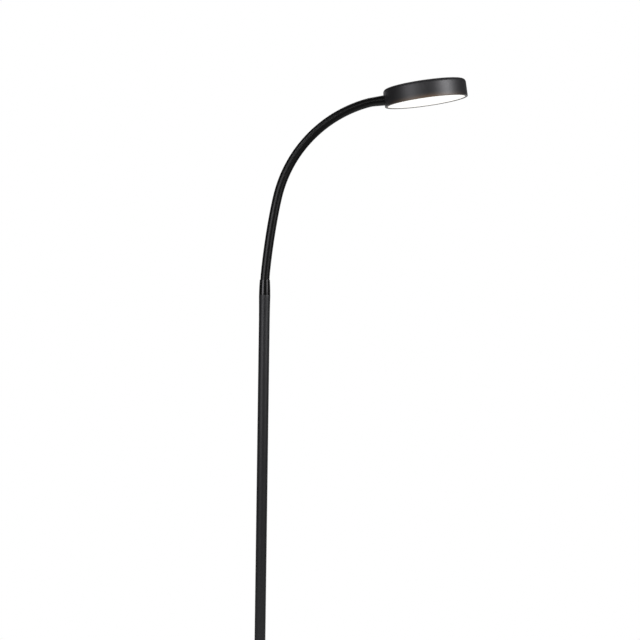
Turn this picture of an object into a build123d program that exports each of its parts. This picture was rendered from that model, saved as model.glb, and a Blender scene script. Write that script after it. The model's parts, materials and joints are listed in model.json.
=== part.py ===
from build123d import *
from math import cos, pi, radians, sin, tan
import os

# A reading lamp on a straight pole, with a bendable neck and a flat round light.
# Sizes are in millimetres and angles in degrees. +Z is up, +X is the way the neck
# reaches, and the origin is on the floor, on the pole's axis.

# Clearances
seat_gap = 0.05  # round a piece that is pressed or screwed into its seat
slide_gap = 0.2  # round a piece that slides
loose_gap = 0.4  # round a piece that is dropped in

# Of a screw's radius and of its head's height, the share that its hexagon recess takes
recess_share = 0.6

# Base
base_radius = 115.0
pad_thickness = 2.0
pad_inset = 3.0
weight_thickness = 12.5
cover_wall = 1.5
cover_edge_radius = 3.0
cover_floor_gap = 1.2
weight_hole_radius = 15.0
socket_flange_radius = 30.0
socket_flange_thickness = 3.5
socket_entry_radius = 8.0
socket_screw_radius = 2.0
socket_screw_head_radius = 4.0
socket_screw_head_height = 2.0
socket_screw_length = 10.0
socket_screw_count = 3
socket_screw_circle = 22.0
foot_ring_radius = 17.0
foot_ring_height = 5.0
foot_ring_chamfer = 1.5

# Pole
tube_radius = 9.5
tube_wall = 1.2
lower_tube_length = 400.0
upper_tube_length = 657.5
flare_length = 50.0
flare_growth = 0.5
tube_edge_chamfer = 0.3
insert_length = 22.0
stud_radius = 6.0
stud_bore_radius = 4.0
stud_engagement = 20.0

# Collar between the pole and the neck
collar_height = 26.5
collar_mouth_radius = 8.9
collar_belly = 0.22
collar_mouth_bore_radius = 8.3
collar_mouth_depth = 12.0
collar_plug_length = 16.0
root_thread_radius = 5.0
root_nut_flat_radius = 7.0
root_nut_height = 6.0
root_thread_runout = 1.5

# Neck
pivot_above_collar = 3.0
pivot_count = 16
link_pitch = 25.5
neck_start_lean = 4.7
lower_bend_length = 138.0
lower_bend_radius = 1235.0
upper_bend_radius = 222.0
link_radius = 6.3
link_chamfer = 0.7
link_bore_radius = 3.4
ball_radius = 5.5
ball_gap = 0.25
ball_mouth_radius = 4.3
ball_mouth_height = 1.5
ball_shoulder = 1.0
cup_rim_drop = 1.2
groove_count = 5
groove_width = 0.8
groove_depth = 0.5
sleeve_radius = 8.0
sleeve_wall = 1.1
lead_radius = 2.0
lead_turn_radius = 12.0
lead_height = 7.0
lead_joint_depth = 12.0
bend_share = 0.45  # of the shorter run, which each bend of a lead or sleeve takes
grommet_lip = 1.0  # by which the grommet's flanges stand out over its neck
grommet_neck_wall = 1.0
grommet_flange_thickness = 1.5

# Ball end in the light, and the cone that widens the sleeve
head_rise = 8.5
tip_length = 27.0
tip_cone_start = 7.0
tip_cone_growth = 1.0
tip_thread_radius = 4.0
tip_bore_radius = 2.6
tip_pad_radius = 6.6
tip_pad_depth = 5.0
tip_washer_thickness = 1.0
tip_nut_flat_radius = 6.0
tip_nut_height = 4.5
tip_thread_runout = 2.5

# Light housing, measured up from the plane of its lower rim
head_radius = 72.5
head_height = 31.0
head_wall = 2.2
head_shoulder_radius = 6.5
rim_round = 0.8
rim_lip = 2.4
rim_lip_height = 0.8
entry_height = 12.5

# Light stack
diffuser_thickness = 2.0
guide_thickness = 2.5
film_thickness = 0.3
carrier_thickness = 2.0
carrier_skirt = 1.0
strip_thickness = 0.4
strip_height = 2.4
led_depth = 0.8
led_width = 3.2
led_height = 1.8
led_count = 36
led_clear = 0.2
notch_width = 17.0
notch_depth = 11.0
wire_slot_width = 3.0
wire_slot_depth = 5.0

# Screw bosses
boss_radius = 3.2
boss_circle = 54.0
boss_count = 4
small_screw_radius = 1.25
small_screw_length = 9.0
small_head_radius = 2.4
small_head_height = 1.4

# Control board and push button
board_length = 44.0
board_width = 34.0
board_thickness = 1.6
board_screw_x = 17.0
board_screw_y = 12.0
board_screw_length = 7.0
connector_length = 8.0
connector_width = 7.0
connector_height = 4.0
switch_side = 6.2
switch_height = 3.5
switch_floor = 0.8
plunger_radius = 1.7
plunger_depth = 1.4
button_radius = 8.0
button_proud = 1.5
button_edge_radius = 0.6
button_travel = 1.0
button_flange_radius = 9.8
button_flange_thickness = 1.9
button_stem_radius = 2.5
wire_radius = 0.45
wire_level_run = 36.0
wire_drop_start = 3.6

# Heights that follow from the sizes above
weight_top = pad_thickness + weight_thickness
base_height = weight_top + cover_wall
joint_height = base_height + lower_tube_length
pole_top = joint_height + upper_tube_length
collar_top = pole_top + collar_height
grommet_neck_radius = lead_radius + grommet_neck_wall
grommet_radius = grommet_neck_radius + grommet_lip
tube_bore_radius = tube_radius - tube_wall
pole_top_radius = tube_radius + flare_growth
collar_seat = collar_top - collar_mouth_depth
collar_foot = pole_top - collar_plug_length
pivot_height = collar_top + pivot_above_collar
sleeve_bore_radius = sleeve_radius - sleeve_wall
cavity_radius = head_radius - head_wall
ceiling = head_height - head_wall
diffuser_low = rim_lip_height
guide_low = diffuser_low + diffuser_thickness
film_low = guide_low + guide_thickness
carrier_low = film_low + film_thickness
carrier_top = carrier_low + carrier_thickness
carrier_radius = cavity_radius - loose_gap
strip_radius = carrier_radius - carrier_skirt - seat_gap
led_face_radius = strip_radius - strip_thickness - led_depth
board_low = entry_height + connector_height / 2
board_top = board_low + board_thickness
switch_top = board_top + switch_height
pad_face = head_radius - tip_pad_depth
nut_face = pad_face - tip_washer_thickness
tip_end = nut_face - tip_nut_height - tip_thread_runout


def rod(radius, low, high):
    return Pos(0, 0, low) * Cylinder(
        radius, high - low, align=(Align.CENTER, Align.CENTER, Align.MIN)
    )


def ring(outer, inner, low, high):
    return rod(outer, low, high) - rod(inner, low - 1, high + 1)


def taper(low_radius, high_radius, low, high):
    return Pos(0, 0, low) * Cone(
        low_radius, high_radius, high - low, align=(Align.CENTER, Align.CENTER, Align.MIN)
    )


def block(length, width, low, high, x=0, y=0):
    return Pos(x, y, low) * Box(
        length, width, high - low, align=(Align.CENTER, Align.CENTER, Align.MIN)
    )


def hexagon(flat_radius, low, high):
    corner_radius = flat_radius / cos(pi / 6)
    outline = RegularPolygon(corner_radius, 6, rotation=30)
    return Pos(0, 0, low) * extrude(outline, high - low)


def turned(edges):
    return revolve(Plane.XZ * make_face(edges), Axis.Z)


def around(radius, count, first_angle=0):
    return [Rot(0, 0, first_angle + n * 360 / count) * Pos(radius, 0, 0) for n in range(count)]


def top_edges(solid):
    return solid.edges().group_by(Axis.Z)[-1]


def bottom_edges(solid):
    return solid.edges().group_by(Axis.Z)[0]


# A tube or lead follows straight runs that are joined by tangent arcs, each as large
# as its two runs allow unless it is given.
def bent_path(points, given_radius=None):
    runs = [b - a for a, b in zip(points, points[1:])]
    radii = []
    for before, after in zip(runs, runs[1:]):
        half_turn = radians(before.get_angle(after)) / 2
        shorter = min(before.length, after.length)
        radii.append(given_radius or bend_share * shorter / tan(half_turn))
    return FilletPolyline(*points, radius=radii)


def swept(path, radius):
    start = Plane(origin=path @ 0, z_dir=path % 0)
    return sweep(start * Circle(radius), path=path)


# The neck leaves the collar at a small lean, follows a wide bend and then a tighter one.
def arc_end(x, z, lean, radius, length):
    new_lean = lean + length / radius
    return (
        x + radius * (cos(lean) - cos(new_lean)),
        z + radius * (sin(new_lean) - sin(lean)),
        new_lean,
    )


def neck_point(length):
    lower = min(length, lower_bend_length)
    upper = length - lower
    x, z, lean = arc_end(0, pivot_height, radians(neck_start_lean), lower_bend_radius, lower)
    x, z, lean = arc_end(x, z, lean, upper_bend_radius, upper)
    return Vector(x, 0, z)


pivots = [neck_point(n * link_pitch) for n in range(pivot_count)]
head_direction = Vector(cos(radians(head_rise)), 0, sin(radians(head_rise)))
head_up = Vector(-sin(radians(head_rise)), 0, cos(radians(head_rise)))
wall_point = pivots[-1] + head_direction * tip_length
rim_centre = wall_point + head_direction * head_radius - head_up * entry_height
head_frame = Plane(origin=rim_centre, x_dir=head_direction, z_dir=head_up).location
# Along this frame's z the tip runs from the last pivot into the light.
tip_frame = Plane(origin=pivots[-1], x_dir=head_up, z_dir=head_direction).location


def base_pad():
    return rod(base_radius - pad_inset, 0, pad_thickness)


def lead_channel():
    width = 2 * (lead_radius + slide_gap + loose_gap)
    depth = lead_height + lead_radius + slide_gap
    return block(base_radius, width, 0, depth, x=-base_radius / 2)


def base_weight():
    radius = base_radius - cover_wall - loose_gap
    weight = rod(radius, pad_thickness, weight_top)
    weight = chamfer(top_edges(weight), cover_edge_radius)
    weight -= rod(weight_hole_radius, 0, weight_top)
    flange_low = weight_top - socket_flange_thickness
    weight -= rod(socket_flange_radius + loose_gap, flange_low, weight_top + 1)
    for place in socket_screw_places():
        weight -= place * rod(socket_screw_radius + seat_gap, 0, weight_top)
    weight -= lead_channel()
    grommet_depth = cover_wall + grommet_flange_thickness + 2 * loose_gap
    pocket_side = 2 * (grommet_radius + loose_gap)
    pocket_low = lead_height - grommet_radius - loose_gap
    pocket = block(2 * grommet_depth, pocket_side, pocket_low, pocket_low + pocket_side)
    return weight - Pos(-base_radius, 0, 0) * pocket


def base_cover():
    cover = rod(base_radius, cover_floor_gap, base_height)
    cover = fillet(top_edges(cover), cover_edge_radius)
    inside = rod(base_radius - cover_wall, 0, weight_top)
    inside = fillet(top_edges(inside), cover_edge_radius - cover_wall)
    cover -= inside
    cover -= rod(stud_radius + slide_gap, 0, base_height + 1)
    return cover - lead_exit() * rod(grommet_neck_radius + seat_gap, -2 * cover_wall, 1)


# Turns the z axis so that it runs out of the back of the base, along the lead.
def lead_exit():
    return Pos(-base_radius, 0, lead_height) * Rot(0, -90, 0)


def lead_grommet():
    wall_outside = rod(base_radius + seat_gap, 0, base_height)
    wall_inside = rod(base_radius - cover_wall - seat_gap, 0, base_height)
    inner_reach = cover_wall + grommet_flange_thickness
    outer_flange = lead_exit() * rod(grommet_radius, -1, grommet_flange_thickness)
    inner_flange = lead_exit() * rod(grommet_radius, -inner_reach, 0)
    neck = lead_exit() * rod(grommet_neck_radius, -inner_reach, grommet_flange_thickness)
    bore = lead_exit() * rod(lead_radius + seat_gap, -2 * inner_reach, 2 * inner_reach)
    return (outer_flange - wall_outside) + (inner_flange & wall_inside) + neck - bore


def socket_screw_places():
    return around(socket_screw_circle, socket_screw_count)


def countersunk_screw(radius, length, head_radius, head_height):
    head = taper(radius, head_radius, -head_height, 0)
    return head + rod(radius, -length, -head_height)


def pole_socket():
    low = weight_top - socket_flange_thickness
    socket = rod(socket_flange_radius, low, weight_top)
    socket += rod(stud_radius, low, base_height + stud_engagement)
    socket -= rod(stud_bore_radius, low, base_height + stud_engagement)
    socket -= taper(socket_entry_radius, stud_bore_radius, low, base_height)
    for place in socket_screw_places():
        hole = place * Pos(0, 0, weight_top) * countersunk_screw(
            socket_screw_radius + seat_gap,
            socket_screw_length,
            socket_screw_head_radius + seat_gap,
            socket_screw_head_height,
        )
        socket -= hole
    return socket


def socket_screws():
    screw = countersunk_screw(
        socket_screw_radius, socket_screw_length, socket_screw_head_radius, socket_screw_head_height
    )
    recess_low = -socket_screw_head_height * recess_share
    screw -= hexagon(socket_screw_radius * recess_share, recess_low, 1)
    return [place * Pos(0, 0, weight_top) * screw for place in socket_screw_places()]


def foot_ring():
    outer = rod(foot_ring_radius, base_height, base_height + foot_ring_height)
    outer = chamfer(top_edges(outer), foot_ring_chamfer)
    return outer - rod(tube_radius + seat_gap, 0, base_height + 2 * foot_ring_height)


def lower_tube():
    return ring(tube_radius, tube_bore_radius, base_height, joint_height)


# The upper tube widens a little at its top, where it takes the collar.
def upper_tube():
    flare_low = pole_top - flare_length
    shoulder = pole_top - tube_edge_chamfer
    outside = Line((tube_radius, joint_height), (tube_radius, flare_low))
    flare = TangentArc((tube_radius, flare_low), (pole_top_radius, shoulder), tangent=(0, 1))
    inner_flare = TangentArc(
        (tube_bore_radius, flare_low), (tube_bore_radius + flare_growth, pole_top), tangent=(0, 1)
    )
    rest = Polyline(
        (pole_top_radius, shoulder),
        (pole_top_radius - tube_edge_chamfer, pole_top),
        (tube_bore_radius + flare_growth, pole_top),
    )
    foot = Polyline(
        (tube_bore_radius, flare_low), (tube_bore_radius, joint_height), (tube_radius, joint_height)
    )
    return turned(outside + flare + rest + inner_flare + foot)


def tube_inserts():
    lows = (base_height, joint_height - insert_length, joint_height)
    insert = ring(tube_bore_radius - seat_gap, stud_radius + seat_gap, 0, insert_length)
    return [Pos(0, 0, low) * insert for low in lows]


def tube_joiner():
    low = joint_height - stud_engagement
    high = joint_height + stud_engagement
    return ring(stud_radius, stud_bore_radius, low, high)


def neck_collar():
    edge = tube_edge_chamfer
    skin_low = pole_top + edge
    middle = (
        (collar_mouth_radius + pole_top_radius) / 2 + collar_belly,
        pole_top + collar_height / 2,
    )
    skin = ThreePointArc((pole_top_radius, skin_low), middle, (collar_mouth_radius, collar_top))
    plug_top_radius = tube_bore_radius + flare_growth - seat_gap
    plug_foot_radius = tube_bore_radius + flare_growth * (
        1 - collar_plug_length / flare_length
    ) ** 2 - seat_gap
    lip = Polyline(
        (collar_mouth_radius, collar_top),
        (collar_mouth_bore_radius, collar_top),
        (collar_mouth_bore_radius, collar_seat),
        (root_thread_radius + seat_gap, collar_seat),
        (root_thread_radius + seat_gap, collar_foot),
        (plug_foot_radius, collar_foot),
        (plug_top_radius, pole_top),
        (pole_top_radius - edge, pole_top),
        (pole_top_radius, skin_low),
    )
    return turned(skin + lip)


def neck_cup(height):
    return Pos(0, 0, height) * Sphere(ball_radius + ball_gap)


def neck_root():
    rim = pivot_height - cup_rim_drop
    foot = collar_foot - root_nut_height - root_thread_runout
    root = rod(link_radius, collar_seat, rim) + rod(root_thread_radius, foot, collar_seat)
    root = chamfer(top_edges(root), link_chamfer / 2)
    return root - neck_cup(pivot_height) - rod(link_bore_radius, foot, rim)


def root_nut():
    low = collar_foot - root_nut_height
    nut = hexagon(root_nut_flat_radius, low, collar_foot)
    return nut - rod(root_thread_radius + seat_gap, low, collar_foot)


# The ball end sits at z = 0, cut off at its mouth, which opens wide for the lead.
def ball_end(bore_length):
    mouth_depth = (ball_radius**2 - ball_mouth_radius**2) ** 0.5
    ball = Sphere(ball_radius) & rod(ball_radius, -mouth_depth, ball_shoulder)
    mouth = taper(ball_mouth_radius, link_bore_radius, -mouth_depth, ball_mouth_height)
    return ball, mouth + rod(link_bore_radius, 0, bore_length)


def neck_link(length):
    ball, bore = ball_end(length)
    barrel = rod(link_radius, ball_shoulder, length - cup_rim_drop)
    barrel = chamfer(bottom_edges(barrel), link_chamfer)
    barrel = chamfer(top_edges(barrel), link_chamfer / 2)
    body_length = length - cup_rim_drop - ball_shoulder
    for n in range(groove_count):
        middle = ball_shoulder + body_length * (n + 1) / (groove_count + 1)
        low = middle - groove_width / 2
        barrel -= ring(link_radius + 1, link_radius - groove_depth, low, low + groove_width)
    return ball + barrel - neck_cup(length) - bore


def placed_link(number):
    start = pivots[number]
    run = pivots[number + 1] - start
    place = Plane(origin=start, x_dir=(0, 1, 0), z_dir=run).location
    return place * neck_link(run.length)


def housing_skin(clearance=0.0):
    return head_frame * rod(head_radius + clearance, -head_height, 2 * head_height)


def neck_tip():
    ball, bore = ball_end(tip_cone_start + 1)
    barrel = rod(link_radius, ball_shoulder, tip_cone_start)
    barrel = chamfer(bottom_edges(barrel), link_chamfer)
    cone_low_radius = sleeve_bore_radius - seat_gap
    cone_high_radius = cone_low_radius + tip_cone_growth
    cone = taper(cone_low_radius, cone_high_radius, tip_cone_start, tip_length)
    cone += rod(cone_high_radius, tip_length, tip_length + head_wall)
    body = tip_frame * (ball + barrel + cone) - housing_skin(seat_gap)
    thread_end = tip_length + head_radius - tip_end
    thread = rod(tip_thread_radius, tip_length - head_wall, thread_end)
    body += tip_frame * thread
    return body - tip_frame * (bore + rod(tip_bore_radius, tip_cone_start, thread_end + 1))


def neck_route(start_drop, end_length):
    start = Vector(0, 0, pivot_height - start_drop)
    end = pivots[-1] + head_direction * end_length
    return [start, *pivots, end]


def neck_sleeve():
    start_drop = pivot_above_collar + collar_mouth_depth - loose_gap
    path = bent_path(neck_route(start_drop, tip_cone_start))
    tube = swept(path, sleeve_radius) - swept(path, sleeve_bore_radius)
    high_radius = sleeve_radius + tip_cone_growth
    high_bore = sleeve_bore_radius + tip_cone_growth
    cone = taper(sleeve_radius, high_radius, tip_cone_start, tip_length)
    cone += rod(high_radius, tip_length, tip_length + head_wall)
    cone -= taper(sleeve_bore_radius, high_bore, tip_cone_start, tip_length)
    cone -= rod(high_bore, tip_length, tip_length + head_wall)
    return tube + (tip_frame * cone - housing_skin(seat_gap))


def neck_lead():
    path = bent_path(neck_route(lead_joint_depth, lead_joint_depth))
    return swept(path, lead_radius)


def pole_lead():
    back = Vector(-base_radius - grommet_flange_thickness, 0, lead_height)
    corner = Vector(0, 0, lead_height)
    top = Vector(0, 0, pivot_height - lead_joint_depth)
    return swept(bent_path([back, corner, top], lead_turn_radius), lead_radius)


def head_lead():
    low = lead_joint_depth
    high = tip_length + head_radius - board_length / 2
    return tip_frame * rod(lead_radius, low, high)


def tip_washer():
    washer = ring(tip_pad_radius - loose_gap, tip_thread_radius + seat_gap, nut_face, pad_face)
    return head_frame * entry_turn() * washer


def tip_nut():
    low = nut_face - tip_nut_height
    nut = hexagon(tip_nut_flat_radius, low, nut_face)
    nut -= rod(tip_thread_radius + seat_gap, low, nut_face)
    return head_frame * entry_turn() * nut


# Turns the z axis so that it runs outwards along the neck's entry, at its height.
def entry_turn():
    return Pos(0, 0, entry_height) * Rot(0, -90, 0)


def boss_places():
    return around(boss_circle, boss_count, 45)


def board_screw_places():
    return [
        Pos(x, y, 0)
        for x in (-board_screw_x, board_screw_x)
        for y in (-board_screw_y, board_screw_y)
    ]


def head_housing():
    shell = rod(head_radius, 0, head_height)
    shell = fillet(top_edges(shell), head_shoulder_radius)
    shell = fillet(bottom_edges(shell), rim_round)
    cavity = rod(cavity_radius, rim_lip_height, ceiling)
    cavity = fillet(top_edges(cavity), head_shoulder_radius - head_wall)
    shell -= cavity
    shell -= rod(cavity_radius - rim_lip, -1, rim_lip_height + 1)
    pad = entry_turn() * rod(tip_pad_radius, pad_face, head_radius)
    shell += pad & rod(cavity_radius + head_wall / 2, 0, head_height)
    shell -= entry_turn() * rod(tip_thread_radius + seat_gap, 0, 2 * head_radius)
    for place in boss_places():
        shell += place * rod(boss_radius, carrier_top, ceiling + head_wall / 2)
        pilot_top = carrier_low + small_screw_length + loose_gap
        shell -= place * rod(small_screw_radius + seat_gap, carrier_top, pilot_top)
    for place in board_screw_places():
        shell += place * rod(boss_radius, board_top, ceiling + head_wall / 2)
        pilot_top = board_low + board_screw_length + loose_gap
        shell -= place * rod(small_screw_radius + seat_gap, board_top, pilot_top)
    shell -= rod(button_radius + slide_gap, ceiling - 1, head_height + 1)
    return head_frame * shell


def light_carrier():
    plate = rod(carrier_radius, carrier_low, carrier_top)
    plate += ring(carrier_radius, strip_radius + seat_gap, guide_low, carrier_low)
    notch_low = carrier_low + seat_gap
    notch_x = -carrier_radius - 1 + notch_depth / 2
    plate -= block(notch_depth + 2, notch_width, notch_low, carrier_top + 1, x=notch_x)
    plate -= block(
        wire_slot_depth, wire_slot_width, carrier_low, carrier_top, x=strip_radius - wire_slot_depth / 2
    )
    for place in boss_places():
        plate -= place * Pos(0, 0, carrier_low) * Rot(180, 0, 0) * countersunk_screw(
            small_screw_radius + seat_gap,
            small_screw_length,
            small_head_radius + seat_gap,
            small_head_height,
        )
    return head_frame * plate


def carrier_screws():
    screw = countersunk_screw(
        small_screw_radius, small_screw_length, small_head_radius, small_head_height
    )
    recess_low = -small_head_height * recess_share
    screw -= hexagon(small_screw_radius * recess_share, recess_low, 1)
    turned_over = Pos(0, 0, carrier_low) * Rot(180, 0, 0) * screw
    return [head_frame * place * turned_over for place in boss_places()]


def reflector_film():
    return head_frame * rod(led_face_radius - led_clear, film_low, carrier_low)


def light_guide():
    return head_frame * rod(led_face_radius - led_clear, guide_low, film_low)


def strip_low():
    return carrier_low - loose_gap - strip_height


def led_strip():
    low = strip_low()
    strip = ring(strip_radius, strip_radius - strip_thickness, low, low + strip_height)
    return head_frame * strip


def leds():
    middle = strip_low() + strip_height / 2
    low = middle - led_height / 2
    inner_wall = strip_radius - strip_thickness - seat_gap
    chip = block(led_depth, led_width, low, low + led_height, x=led_depth / 2)
    half_step = 180 / led_count
    chips = []
    for place in around(led_face_radius, led_count, half_step):
        chips.append(head_frame * (place * chip & rod(inner_wall, low, low + led_height)))
    return chips


def diffuser():
    disc = rod(cavity_radius - loose_gap, diffuser_low, guide_low)
    return head_frame * disc


def control_board():
    board = block(board_length, board_width, board_low, board_top)
    for place in board_screw_places():
        board -= place * rod(small_screw_radius + slide_gap, board_low, board_top)
    return head_frame * board


def board_screws():
    head_low = board_low - small_head_height
    screw = rod(small_head_radius, head_low, board_low)
    screw += rod(small_screw_radius, board_low, board_low + board_screw_length)
    recess_top = head_low + small_head_height * recess_share
    screw -= hexagon(small_screw_radius * recess_share, head_low - 1, recess_top)
    return [head_frame * place * screw for place in board_screw_places()]


def board_connectors():
    x = board_length / 2 - connector_length / 2
    low = board_low - connector_height
    housing = block(connector_length, connector_width, low, board_low)
    return [head_frame * Pos(side * x, 0, 0) * housing for side in (-1, 1)]


def switch_body():
    body = block(switch_side, switch_side, board_top, switch_top)
    body -= rod(plunger_radius + slide_gap, board_top + switch_floor, switch_top)
    return head_frame * body


def stem_foot():
    return switch_top + button_travel + seat_gap


def switch_plunger():
    low = switch_top - plunger_depth
    return head_frame * rod(plunger_radius, low, stem_foot())


def push_button():
    flange_top = ceiling - seat_gap
    flange_low = flange_top - button_flange_thickness
    cap = rod(button_radius, flange_low, head_height + button_proud)
    cap = fillet(top_edges(cap), button_edge_radius)
    cap += rod(button_flange_radius, flange_low, flange_top)
    return head_frame * (cap + rod(button_stem_radius, stem_foot(), flange_low))


def led_wire():
    start = Vector(board_length / 2, 0, board_low - connector_height / 2)
    drop_x = strip_radius - strip_thickness - wire_radius - seat_gap
    level_end = start + Vector(wire_level_run, 0, 0)
    drop_top = Vector(drop_x, 0, start.Z - wire_drop_start)
    foot = Vector(drop_x, 0, strip_low() + strip_height / 2)
    return head_frame * swept(bent_path([start, level_end, drop_top, foot]), wire_radius)


pieces = {
    "base_pad": base_pad(),
    "base_weight": base_weight(),
    "base_cover": base_cover(),
    "lead_grommet": lead_grommet(),
    "pole_socket": pole_socket(),
    "socket_screws": socket_screws(),
    "foot_ring": foot_ring(),
    "lower_tube": lower_tube(),
    "upper_tube": upper_tube(),
    "tube_inserts": tube_inserts(),
    "tube_joiner": tube_joiner(),
    "pole_lead": pole_lead(),
    "neck_collar": neck_collar(),
    "neck_root": neck_root(),
    "root_nut": root_nut(),
    "neck_sleeve": neck_sleeve(),
    "neck_lead": neck_lead(),
    "neck_tip": neck_tip(),
    "tip_washer": tip_washer(),
    "tip_nut": tip_nut(),
    "head_housing": head_housing(),
    "light_carrier": light_carrier(),
    "carrier_screws": carrier_screws(),
    "reflector_film": reflector_film(),
    "light_guide": light_guide(),
    "led_strip": led_strip(),
    "leds": leds(),
    "diffuser": diffuser(),
    "control_board": control_board(),
    "board_screws": board_screws(),
    "board_connectors": board_connectors(),
    "switch_body": switch_body(),
    "switch_plunger": switch_plunger(),
    "push_button": push_button(),
    "head_lead": head_lead(),
    "led_wire": led_wire(),
}
for number in range(pivot_count - 1):
    pieces[f"neck_link_{number + 1:02d}"] = placed_link(number)

os.makedirs("parts", exist_ok=True)
for name, shape in pieces.items():
    if isinstance(shape, list):
        shape = Compound(children=shape)
    export_step(shape, f"parts/{name}.step")
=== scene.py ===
import bpy
import bmesh
import json
from math import cos, pi, radians, sin, sqrt, tan
from mathutils import Matrix, Vector


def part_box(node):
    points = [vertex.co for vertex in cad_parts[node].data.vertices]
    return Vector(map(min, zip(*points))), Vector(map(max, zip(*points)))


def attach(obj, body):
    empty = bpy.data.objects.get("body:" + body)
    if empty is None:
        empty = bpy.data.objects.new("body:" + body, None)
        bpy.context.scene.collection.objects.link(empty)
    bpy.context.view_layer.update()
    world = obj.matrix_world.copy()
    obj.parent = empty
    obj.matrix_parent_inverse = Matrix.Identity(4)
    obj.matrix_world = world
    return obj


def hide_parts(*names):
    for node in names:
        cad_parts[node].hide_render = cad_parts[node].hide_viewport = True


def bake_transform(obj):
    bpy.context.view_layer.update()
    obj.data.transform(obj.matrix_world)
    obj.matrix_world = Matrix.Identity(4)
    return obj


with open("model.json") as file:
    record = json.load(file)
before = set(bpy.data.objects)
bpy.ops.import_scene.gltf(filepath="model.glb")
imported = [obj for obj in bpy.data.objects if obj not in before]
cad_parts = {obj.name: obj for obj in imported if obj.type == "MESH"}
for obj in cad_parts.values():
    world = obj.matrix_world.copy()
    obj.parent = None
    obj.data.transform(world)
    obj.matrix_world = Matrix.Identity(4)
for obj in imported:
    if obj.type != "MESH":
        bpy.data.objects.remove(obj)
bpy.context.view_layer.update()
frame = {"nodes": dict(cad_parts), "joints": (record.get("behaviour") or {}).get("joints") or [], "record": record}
print("frame loaded:", len(frame["nodes"]), "nodes")

# All lengths are in metres. +Z is up and +X is the way the neck reaches.
hinges = [j for j in frame["joints"] if j["type"] == "hinge"]
press = next(j for j in frame["joints"] if j["type"] == "slide")
pivots = [Vector(j["pos_m"]) for j in hinges]
middles = [(a + b) / 2 for a, b in zip(pivots, pivots[1:])]  # halfway along each link
headUp = -Vector(press["axis"]).normalized()
headForward = Vector((headUp.z, 0, -headUp.x))
sideways = Vector((0, 1, 0))
upwards = Vector((0, 0, 1))

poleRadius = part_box("lower_tube")[1].x
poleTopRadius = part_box("upper_tube")[1].x
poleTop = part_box("upper_tube")[1].z
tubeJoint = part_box("lower_tube")[1].z
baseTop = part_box("base_cover")[1].z
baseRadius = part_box("base_cover")[1].x
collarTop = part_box("neck_collar")[1].z
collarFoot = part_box("neck_collar")[0].z
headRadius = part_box("head_housing")[1].y

fineEdge = 0.0002  # the rounding of an edge that is only broken
softEdge = 0.0003
sharpAngle = radians(32)  # faces that meet at more than this show a sharp edge
onAxis = 1e-7  # a radius below this is on the axis


# Each corner of an outline is (radius, height, rounding), and rounded corners become arcs.
def roundCorners(corners, closed=True, steps=6):
    points = []
    for n, (x, z, rounding) in enumerate(corners):
        here = Vector((x, z))
        atEnd = not closed and n in (0, len(corners) - 1)
        if rounding == 0 or atEnd:
            points.append(here)
            continue
        back = (Vector(corners[n - 1][:2]) - here).normalized()
        ahead = (Vector(corners[(n + 1) % len(corners)][:2]) - here).normalized()
        half = back.angle(ahead) / 2
        centre = here + (back + ahead).normalized() * rounding / sin(half)
        a = here + back * rounding / tan(half) - centre
        b = here + ahead * rounding / tan(half) - centre
        turn = a.angle(b)
        for k in range(steps + 1):
            share = k / steps
            arm = (a * sin((1 - share) * turn) + b * sin(share * turn)) / sin(turn)
            points.append(centre + arm)
    return points


def skin(mesh, rings, closed):
    pairs = list(zip(rings, rings[1:]))
    if closed:
        pairs.append((rings[-1], rings[0]))
    for a, b in pairs:
        count = max(len(a), len(b))
        for n in range(count if count > 1 else 0):
            following = n + 1
            corners = [
                a[n % len(a)],
                a[following % len(a)],
                b[following % len(b)],
                b[n % len(b)],
            ]
            mesh.faces.new(list(dict.fromkeys(corners)))


def circleAngles(around):
    return [2 * pi * n / around for n in range(around)]


# A closed outline turns into a ring, and an open one starts and ends on the axis.
def lathe(points, around=128, closed=True):
    mesh = bmesh.new()
    rings = []
    for x, z in points:
        if x < onAxis:
            rings.append([mesh.verts.new((0, 0, z))])
            continue
        rings.append([mesh.verts.new((x * cos(a), x * sin(a), z)) for a in circleAngles(around)])
    skin(mesh, rings, closed)
    return mesh


# The path is a list of (point, direction) in the plane of the lamp.
def sweep(path, outer, inner=None, around=48):
    mesh = bmesh.new()

    def ring(place, radius):
        point, direction = place
        across = sideways.cross(direction)
        return [
            mesh.verts.new(point + (across * cos(a) + sideways * sin(a)) * radius)
            for a in circleAngles(around)
        ]

    rings = [ring(place, radius) for place, radius in zip(path, outer)]
    if inner:
        rings += [ring(place, radius) for place, radius in reversed(list(zip(path, inner)))]
    else:
        rings.insert(0, [mesh.verts.new(path[0][0])])
        rings.append([mesh.verts.new(path[-1][0])])
    skin(mesh, rings, closed=bool(inner))
    return mesh


def addPiece(name, mesh, slot, place=None):
    bmesh.ops.recalc_face_normals(mesh, faces=mesh.faces)
    if place:
        mesh.transform(place)
    data = bpy.data.meshes.new(name)
    mesh.to_mesh(data)
    mesh.free()
    data.shade_smooth()
    data.set_sharp_from_angle(angle=sharpAngle)
    data.materials.append(looks[slot])
    piece = bpy.data.objects.new(name, data)
    bpy.context.scene.collection.objects.link(piece)
    return piece


def cutAway(piece, cutterMesh, place):
    bmesh.ops.recalc_face_normals(cutterMesh, faces=cutterMesh.faces)
    cutterMesh.transform(place)
    data = bpy.data.meshes.new("cutter")
    cutterMesh.to_mesh(data)
    cutterMesh.free()
    cutter = bpy.data.objects.new("cutter", data)
    bpy.context.scene.collection.objects.link(cutter)
    cut = piece.modifiers.new("hole", "BOOLEAN")
    cut.operation = "DIFFERENCE"
    cut.object = cutter
    cut.solver = "EXACT"
    depsgraph = bpy.context.evaluated_depsgraph_get()
    result = bpy.data.meshes.new_from_object(piece.evaluated_get(depsgraph))
    piece.modifiers.remove(cut)
    piece.data = result
    bpy.data.objects.remove(cutter)


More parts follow.
